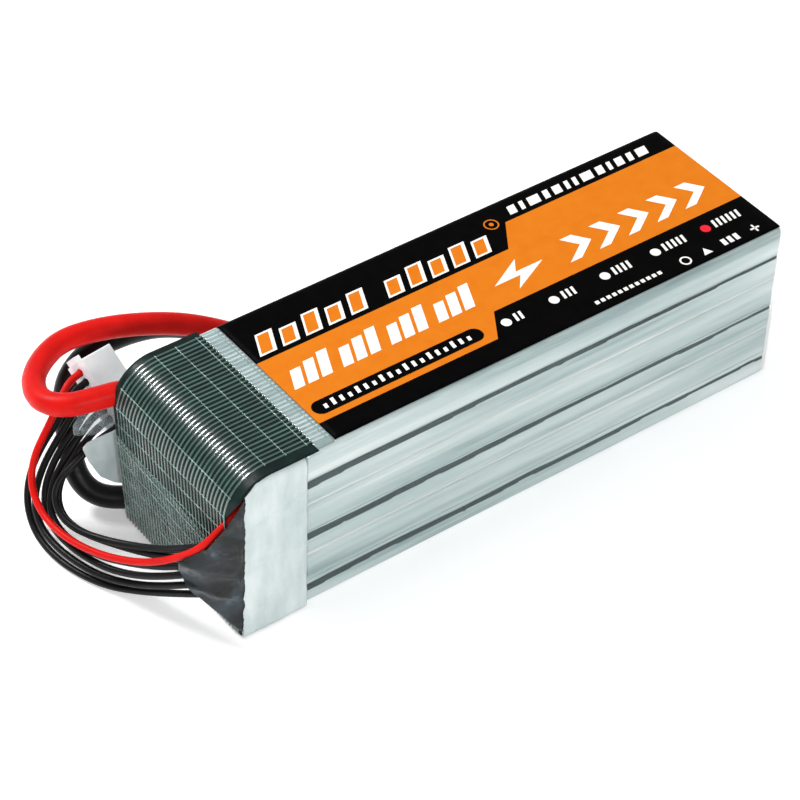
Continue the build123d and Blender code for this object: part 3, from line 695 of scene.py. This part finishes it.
def add_rib(target, path, y, half_width, height, material):
    """A low round-topped rib along a path at one y."""
    half_section = ((1.0, -0.25), (0.85, 0.55), (0.65, 0.88), (0.5, 0.96), (0.4, 0.975))
    section = [(-a, b) for a, b in half_section] + list(reversed(half_section))
    rows = []
    for place, outward in path:
        low = tape_lift(place) + paper_swell(place, y)
        middle = y + 0.05 * wave(place.x, y * 4, place.y, scale=0.2)
        rows.append(
            [
                wrap_point(place, outward, middle + half_width * a, low + height * b)
                for a, b in section
            ]
        )
    made, _ = add_grid(target, rows, material)
    for row in (made[0], made[-1]):
        face = target.faces.new(row)
        face.material_index = material
    for low, high in zip(made, made[1:]):
        face = target.faces.new((low[0], low[-1], high[-1], high[0]))
        face.material_index = material


def build_ribs(target):
    for i in range(RIB_COUNT):
        y = RIB_FRONT_Y + i * RIB_PITCH
        path = [p for p in tape_path if y > wrap_front_edge(p[0].y) + 0.4 or p[0].x > -74]
        on_film = [p for p in path if p[0].x > -57.5]
        on_paper = [p for p in path if p[0].x <= -57.3]
        add_rib(target, on_film, y, 0.36, 0.16, material=1)
        add_rib(target, on_paper, y, 0.3, 0.22, material=0)


def build_cross_threads(target):
    distance = 0.9
    number = 0
    while distance < tape_run[-1] - 0.5:
        index = min(range(len(tape_run)), key=lambda i: abs(tape_run[i] - distance))
        place, outward = tape_path[index]
        along = Vector((outward.y, -outward.x))
        front = max(RIB_FRONT_Y - 0.5, wrap_front_edge(place.y) + 0.3 if place.x < -74 else -99)
        back = RIB_FRONT_Y + RIB_PITCH * (RIB_COUNT - 1) + 0.5
        rows = []
        steps = 272
        for i in range(steps + 1):
            y = front + (back - front) * i / steps
            over = 0.5 + 0.5 * math.cos(2 * math.pi * (y - RIB_FRONT_Y) / RIB_PITCH)
            fray = 0.5 + 0.5 * wave(y, number * 7.0, scale=0.9, seed=51)
            lift = tape_lift(place) + paper_swell(place, y) + 0.04 + 0.2 * over
            spread = 0.07 + 0.03 * fray + 0.13 * over**4
            ring = []
            for a, b in ((-1, -0.6), (-0.7, 0.6), (0, 1), (0.7, 0.6), (1, -0.6)):
                point = place + along * (spread * a)
                ring.append(wrap_point(point, outward, y, lift + 0.09 * b))
            rows.append(ring)
        add_tube(target, rows, 0)
        distance += CROSS_PITCH
        number += 1


add_mesh(
    "tape_threads", build_ribs, [thread, film_thread], replaces=["filament_tape"]
)
add_mesh("tape_cross_threads", build_cross_threads, [cross_thread])


OVERLAP_RIB_COUNT = 38
OVERLAP_RIB_PITCH = 1.16
OVERLAP_RIB_SKEW = 0.9
OVERLAP_FRONT_Y = -20.8
OVERLAP_CROSS_COUNT = 5
OVERLAP_CROSS_PITCH = 4.9
THREAD_SECTION = ((-1, 0), (-0.6, 0.8), (0, 1), (0.6, 0.8), (1, 0))


def overlap_start(y):
    """Height of the second tape layer's slanting upper edge on the end face."""
    return between(((-24, 19.0), (-13.8, 23.6), (19, 27.0), (24, 27.4)), y)


def end_face_point(y, z, lift):
    """A point over the wrap's end face."""
    down = (PAPER_TOP_Z - z) / (PAPER_TOP_Z - WRAP_FOOT[1])
    x = WRAP_TOP_X + (WRAP_FOOT[0] - WRAP_TOP_X) * down
    swell = 0.1 * wave(x, y, z, scale=0.09, seed=2)
    return Vector((x - swell - lift, y, z)) * MM


def build_overlap(target):
    outer = []
    inner = []
    for i in range(61):
        part = i / 60
        outer_row = []
        inner_row = []
        for j in range(31):
            y = -23.4 + 46.2 * part
            low = 0.7 if y > -16.8 else 1.0
            z = low + (overlap_start(y) - low) * j / 30
            y = max(y, wrap_front_edge(z) + 0.2)
            lift = 0.26 + 0.05 * wave(y, z, scale=0.4, seed=61)
            outer_row.append(end_face_point(y, z, lift))
            inner_row.append(end_face_point(y, z, lift - 0.06))
        outer.append(outer_row)
        inner.append(inner_row)
    add_shell(target, outer, inner)
    for i in range(OVERLAP_RIB_COUNT):
        rows = []
        for j in range(25):
            part = j / 24
            y = OVERLAP_FRONT_Y + i * OVERLAP_RIB_PITCH + OVERLAP_RIB_SKEW * part
            z = 0.8 + (overlap_start(y) - 1.0) * part
            if y < wrap_front_edge(z) + 0.5:
                continue
            lift = 0.3 + 0.05 * wave(y, z, scale=0.4, seed=61)
            rows.append(
                [end_face_point(y + 0.24 * a, z, lift + 0.14 * b) for a, b in THREAD_SECTION]
            )
        if len(rows) > 2:
            add_tube(target, rows, 1)
    for i in range(OVERLAP_CROSS_COUNT):
        rows = []
        for j in range(161):
            y = -20.5 + 43.0 * j / 160
            z = overlap_start(y) - 2.2 - i * OVERLAP_CROSS_PITCH
            if z < 1.2 or y < wrap_front_edge(z) + 0.5:
                continue
            phase = 2 * math.pi * (y - OVERLAP_FRONT_Y) / OVERLAP_RIB_PITCH
            half_width = 0.1 + 0.1 * (0.5 + 0.5 * math.cos(phase)) ** 4
            lift = 0.42 + 0.05 * wave(y, z, scale=0.4, seed=61)
            rows.append(
                [end_face_point(y, z + half_width * a, lift + 0.08 * b) for a, b in THREAD_SECTION]
            )
        if len(rows) > 2:
            add_tube(target, rows, 2)


add_mesh(
    "tape_second_layer", build_overlap, [second_layer_film_and_reflection, second_layer_threads_and_reflection, cross_thread]
)


FILM_CORNER = 2.0
FILM_HALF_WIDTH = 23.85


def top_height(y):
    """Height of the film's outside over the pack's top, with its rounded edges."""
    over = abs(y) - (FILM_HALF_WIDTH - FILM_CORNER)
    if over <= 0:
        return FILM_TOP_Z
    return FILM_TOP_Z - FILM_CORNER + math.sqrt(max(0.0, FILM_CORNER**2 - over**2))


def build_strip(target):
    outer = []
    inner = []
    for i in range(11):
        x = TAPE_START_X + (-57.6 - TAPE_START_X) * i / 10
        ys = [-23.0 + 46.0 * j / 60 for j in range(61)]
        outer.append([Vector((x, y, top_height(y) + 0.05)) * MM for y in ys])
        inner.append([Vector((x, y, top_height(y) + 0.01)) * MM for y in ys])
    add_shell(target, outer, inner)


add_mesh("tape_strip", build_strip, [strip_base])

# ------------------------------------------------------------------ label
LABEL_START_X = -52.7
LABEL_END_X = 77.0
LABEL_FRONT_Y = -22.6
LABEL_BACK_Y = 23.2


def label_point(x, y, lift):
    return Vector((x, y, top_height(y) + lift)) * MM


def build_label_base(target):
    outer = []
    inner = []
    for i in range(66):
        x = LABEL_START_X + (LABEL_END_X - LABEL_START_X) * i / 65
        ys = [LABEL_FRONT_Y + (LABEL_BACK_Y - LABEL_FRONT_Y) * j / 60 for j in range(61)]
        outer.append([label_point(x, y, 0.1) for y in ys])
        inner.append([label_point(x, y, 0.02) for y in ys])
    add_shell(target, outer, inner)


add_mesh("label_base", build_label_base, [label_black], replaces=["label"])


def add_print(target, outline, material, lift):
    """A flat printed shape, as a thin solid that stands on the label."""
    low = [target.verts.new(label_point(x, y, 0.08)) for x, y in outline]
    high = [target.verts.new(label_point(x, y, lift)) for x, y in outline]
    target.faces.new(high).material_index = material
    target.faces.new(list(reversed(low))).material_index = material
    for i in range(len(outline)):
        j = (i + 1) % len(outline)
        target.faces.new((low[i], low[j], high[j], high[i])).material_index = material


def slanted(x, y, width, height, slant=0.45):
    """A parallelogram that leans to the right, from its lower left corner."""
    lean = height * slant
    return [(x, y), (x + width, y), (x + width + lean, y + height), (x + lean, y + height)]


def round_shape(x, y, radius, count=28):
    angles = [2 * math.pi * i / count for i in range(count)]
    return [(x + radius * math.cos(a), y + radius * math.sin(a)) for a in angles]


def pill(x0, y0, x1, y1):
    """A bar with half-round ends."""
    radius = (y1 - y0) / 2
    middle = (y0 + y1) / 2
    shape = []
    for i in range(13):
        angle = math.pi / 2 + math.pi * i / 12
        shape.append((x0 + radius + radius * math.cos(angle), middle + radius * math.sin(angle)))
    for i in range(13):
        angle = -math.pi / 2 + math.pi * i / 12
        shape.append((x1 - radius + radius * math.cos(angle), middle + radius * math.sin(angle)))
    return shape


def moved(shape, x, y, scale=1.0):
    return [(x + a * scale, y + b * scale) for a, b in shape]


BOLT = [(0, 3.2), (9.5, 8.2), (7.0, 4.6), (14.5, 4.6), (4.2, -0.4), (7.2, 3.2)]
CHEVRON = [(0, 0), (3.4, 0), (9.4, 4), (6.4, 8), (3.0, 8), (6.0, 4)]


def build_label_print(target):
    orange, white, red, black = 0, 1, 2, 3
    add_print(
        target,
        [
            (LABEL_START_X + 0.02, -16.7), (-3.2, -16.7), (1.9, -8.7), (LABEL_END_X - 0.02, -8.7),
            (LABEL_END_X - 0.02, 15.4), (24.2, 15.4), (18.6, 7.1), (LABEL_START_X + 0.02, 7.1),
        ],
        orange, 0.12,
    )
    # Bars in groups of three, a bolt and five chevrons fill the middle band.
    for i in range(4):
        for j in range(3):
            x = -50.6 + i * 13.3 + j * 3.75
            add_print(target, slanted(x, -4.8, 2.8, (5.9, 6.8, 7.7)[j]), white, 0.14)
    add_print(target, moved(BOLT, 7.5, -5.2, 1.05), white, 0.14)
    for i in range(5):
        add_print(target, moved(CHEVRON, 27.5 + i * 8.8, -5.0), white, 0.14)
    # Orange blocks with white borders in the upper black band.
    for i in range(10):
        x = -50.6 + i * 6.3 + (4.2 if i > 4 else 0.0)
        height = (6.8, 5.6)[i % 2]
        add_print(target, slanted(x, 8.6, 4.6, height), white, 0.12)
        add_print(target, slanted(x + 0.8, 9.15, 3.05, height - 1.1), orange, 0.13)
    add_print(target, round_shape(20.9, 16.6, 1.9), orange, 0.12)
    add_print(target, round_shape(20.9, 16.6, 1.55), black, 0.13)
    add_print(target, round_shape(20.9, 16.6, 0.6), orange, 0.14)
    # A row of short white bars in the narrow band.
    x = 27.0
    for width in (2.2, 1.2, 3.4, 1.6, 2.4, 1.2, 1.2, 3.4, 2.2, 1.2, 2.4, 1.6, 3.2):
        add_print(target, slanted(x, 16.9, width, 2.9, 0.3), white, 0.12)
        x += width + 1.3
    # A black pill with a row of fine bars.
    add_print(target, pill(-51.4, -14.9, -4.6, -10.4), black, 0.14)
    x = -48.6
    for i in range(19):
        height = (1.4, 2.2, 1.8)[i % 3]
        add_print(target, slanted(x, -13.6, 0.9, height, 0.15), white, 0.16)
        x += 2.2
    # Bullets, each with as many ticks as the pack's cells it stands for.
    for i, x in enumerate((1.9, 15.8, 30.9, 46.2, 61.7)):
        add_print(target, round_shape(x, -13.3, 1.3), red if i == 4 else white, 0.12)
        for j in range(i + 2):
            add_print(target, slanted(x + 2.3 + j * 1.45, -14.4, 0.75, 2.6, 0.2), white, 0.12)
    # A fine dashed line and four plain signs.
    for i in range(12):
        add_print(target, slanted(22.8 + i * 1.7, -20.2, 1.05, 1.1, 0.1), white, 0.12)
    add_print(target, round_shape(50.0, -19.7, 1.5), white, 0.12)
    add_print(target, round_shape(50.0, -19.7, 1.05), black, 0.13)
    add_print(target, [(55.0, -20.8), (57.6, -20.8), (56.3, -18.5)], white, 0.12)
    for i in range(3):
        add_print(target, slanted(61.3 + i * 1.9, -20.7, 1.2, 2.2, 0.1), white, 0.12)
    add_print(target, slanted(70.2, -19.95, 2.6, 0.5, 0), white, 0.12)
    add_print(target, slanted(71.25, -21.0, 0.5, 2.6, 0), white, 0.12)


add_mesh(
    "label_print", build_label_print, [label_orange, label_white, label_red, label_black],
    smooth=False,
)

# ------------------------------------------------------------------ white tape at the corners
def bend_height(x):
    """Height of the wrap's outside over the bend."""
    centre_x = WRAP_TOP_X + WRAP_RADIUS
    reach = min(max(centre_x - x, 0.0), WRAP_RADIUS * 0.98)
    return PAPER_TOP_Z - WRAP_RADIUS + math.sqrt(WRAP_RADIUS**2 - reach**2)


def build_front_tape(target):
    outer = []
    inner = []
    rows = 80
    columns = 40
    for i in range(columns + 1):
        along = i / columns
        outer_row = []
        inner_row = []
        for j in range(rows + 1):
            part = j / rows
            left = -77.3 + 0.4 * wave(part * 45, scale=0.35, seed=4)
            left += 0.3 * wave(part * 45, scale=1.1, seed=9) - 0.9 * (1 - part) ** 3
            right = -60.7 + 0.3 * wave(part * 45, scale=0.25, seed=14) - 0.5 * part**6
            x = left + (right - left) * along
            top = min(45.75, bend_height(x) - 0.25)
            z = 0.4 + (top - 0.4) * part
            crease = 0.3 * wave(x, z * 0.7, scale=0.28, seed=6)
            crease += 0.1 * wave(x, z, scale=1.3, seed=8)
            fold = 0.3 * math.exp(-(((z - 34.0) - 0.22 * (x + 69)) ** 2) / 0.12)
            fold += 0.24 * math.exp(-(((z - 21.0) + 0.16 * (x + 69)) ** 2) / 0.1)
            fold += 0.2 * math.exp(-(((z - 9.0) - 0.3 * (x + 69)) ** 2) / 0.1)
            y = -24.2 - max(0.0, crease + 0.08) - fold * min(1.0, 4 * along + 0.2)
            if x > -62.0:
                y += 0.14 * (x + 62.0)
            y = min(y, -23.9)
            over = z - (FILM_TOP_Z - FILM_CORNER)
            if over > 0:
                y += (FILM_CORNER - math.sqrt(max(0.0, FILM_CORNER**2 - over**2))) * 0.8
            outer_row.append(Vector((x, y, z)) * MM)
            inner_row.append(Vector((x, y + 0.12, z)) * MM)
        outer.append(outer_row)
        inner.append(inner_row)
    add_shell(target, outer, inner)


add_mesh(
    "front_tape", build_front_tape, [white_tape], replaces=["corner_tape_front"]
)


FLAP_LOW = ((70.5, 0.5), (71.5, 6.0), (80.0, 10.8), (83.7, 14.6), (86.3, 20.4), (87.6, 24.6))
FLAP_HIGH = ((70.5, 45.0), (71.5, 29.0), (80.0, 26.8), (86.6, 26.4), (87.6, 25.4))


def build_back_tape(target):
    outer = []
    inner = []
    rows = 40
    columns = 60
    for i in range(columns + 1):
        x = -61.0 - 26.6 * i / columns
        spread = max(0.0, (x + 70.5) / -17.0)
        low = between(FLAP_LOW, -x) if x < -70.5 else 0.5
        high = between(FLAP_HIGH, -x) if x < -70.5 else 45.0
        outer_row = []
        inner_row = []
        for j in range(rows + 1):
            z = low + (high - low) * j / rows
            y = 23.93 + 1.3 * spread + 0.35 * spread * wave(x, z, scale=0.3, seed=21)
            y = max(y + 0.05 * wave(x, z, scale=1.0, seed=22), 23.88)
            outer_row.append(Vector((x, y + 0.1, z)) * MM)
            inner_row.append(Vector((x, y, z)) * MM)
        outer.append(outer_row)
        inner.append(inner_row)
    add_shell(target, outer, inner)


add_mesh(
    "back_tape", build_back_tape, [white_tape], replaces=["corner_tape_back"]
)

# ------------------------------------------------------------------ loose clear film
def bezier(points, t):
    """A point on a quadratic curve through its outer two points."""
    a, b, c = (Vector(p) for p in points)
    return a * (1 - t) ** 2 + b * 2 * t * (1 - t) + c * t**2


GUSSET_LINE = ((-76.7, -24.12), (-82.4, -22.7), (-88.2, -14.4))
GUSSET_LOW = ((0, 1.6), (0.12, 2.2), (0.45, 7.6), (0.83, 13.4), (0.93, 16.4), (1, 19.5))
GUSSET_HIGH = ((0, 43.6), (0.12, 40.6), (0.3, 36.2), (0.45, 32.6), (0.65, 27.4), (1, 22.2))


def build_gusset(target):
    outer = []
    inner = []
    rows = 70
    columns = 60
    for i in range(columns + 1):
        t = i / columns
        place = bezier(GUSSET_LINE, t)
        low = between(GUSSET_LOW, t)
        high = between(GUSSET_HIGH, t)
        outer_row = []
        inner_row = []
        for j in range(rows + 1):
            z = low + (high - low) * j / rows
            crumple = 0.5 * wave(place.x, place.y, z, scale=0.2, seed=31)
            crumple += 0.15 - 0.75 * abs(wave(place.x, place.y, z, scale=0.16, seed=35))
            crumple += 0.4 * math.exp(-((z - 12.5 - 3.5 * t) ** 2) / 1.1)
            crumple -= 0.12 * abs(wave(place.x, place.y, z, scale=0.6, seed=33))
            crumple *= min(1.0, t * 5)
            for fold_z, size in ((36.0, 2.0), (26.5, 3.2), (18.0, 2.4)):
                crumple += 0.5 * math.exp(-(((t - 0.13) / 0.04) ** 2) - ((z - fold_z) / size) ** 2)
            outward = Vector((-0.62, -0.78))
            point = place + outward * (crumple + 0.3 * min(1.0, t * 6))
            outer_row.append(Vector((point.x, point.y, z)) * MM)
            point -= outward * 0.08
            inner_row.append(Vector((point.x, point.y, z)) * MM)
        outer.append(outer_row)
        inner.append(inner_row)
    add_shell(target, outer, inner)


add_mesh(
    "wire_gusset_film", build_gusset, [gusset_wires_and_painted_shade], replaces=["balance_wire_film"]
)


def build_collar(target):
    outer = []
    inner = []
    rows = 24
    columns = 26
    for j in range(rows + 1):
        part = j / rows
        outer_row = []
        inner_row = []
        for i in range(columns + 1):
            t = i / columns
            x = -78.4 - 10.4 * t
            low = between(((0, 28.4), (0.2, 27.0), (0.6, 26.8), (1, 28.4)), t)
            high = between(((0, 34.2), (0.8, 34.0), (1, 31.5)), t)
            z = low + (high - low) * part
            y = 25.3 + 1.6 * t + 0.4 * wave(x, z, scale=0.35, seed=41)
            y += 0.15 * wave(x, z, scale=1.1, seed=43)
            outer_row.append(Vector((x, y + 0.12, z)) * MM)
            inner_row.append(Vector((x, y, z)) * MM)
        outer.append(outer_row)
        inner.append(inner_row)
    add_shell(target, outer, inner)


add_mesh(
    "lead_collar_film", build_collar, [smoky_film], replaces=["lead_film_collar"]
)

# ------------------------------------------------------------------ floor and light
floor_mesh = bpy.data.meshes.new("floor")
floor_mesh.from_pydata([(-4, -4, 0), (4, -4, 0), (4, 4, 0), (-4, 4, 0)], [], [(0, 1, 2, 3)])
floor = bpy.data.objects.new("floor", floor_mesh)
bpy.context.scene.collection.objects.link(floor)
floor_paint = Paint(
    "floor", "#FFFFFF", 0.9, Emission_Color=(1, 1, 1, 1), Emission_Strength=0.3
)
floor_paint.color(floor_paint.noise(3), [(0.3, "#FDFDFD"), (0.7, "#FFFFFF")])
floor_mesh.materials.append(floor_paint.material)
floor.location.z = -0.0001


def add_light(name, place, target, size, power):
    data = bpy.data.lights.new(name, "AREA")
    data.shape = "RECTANGLE"
    data.size, data.size_y = size
    data.energy = power
    light = bpy.data.objects.new(name, data)
    bpy.context.scene.collection.objects.link(light)
    light.location = place
    light.rotation_euler = (Vector(target) - Vector(place)).to_track_quat("-Z", "Y").to_euler()


add_light("top", (0.25, 0.35, 1.5), (0, 0, 0.02), (1.5, 1.2), 3)
add_light("bend_glint", (-0.39, 0.68, 0.85), (-0.07, 0, 0.04), (0.28, 0.28), 10)
add_light("side", (-0.35, -1.2, 0.7), (0, 0, 0.02), (0.9, 0.22), 8.5)

world = bpy.data.worlds.new("studio")
world.use_nodes = True
world.node_tree.nodes["Background"].inputs["Color"].default_value = (1, 1, 1, 1)
world.node_tree.nodes["Background"].inputs["Strength"].default_value = 0.46
bpy.context.scene.world = world
bpy.context.scene.view_settings.view_transform = "Standard"
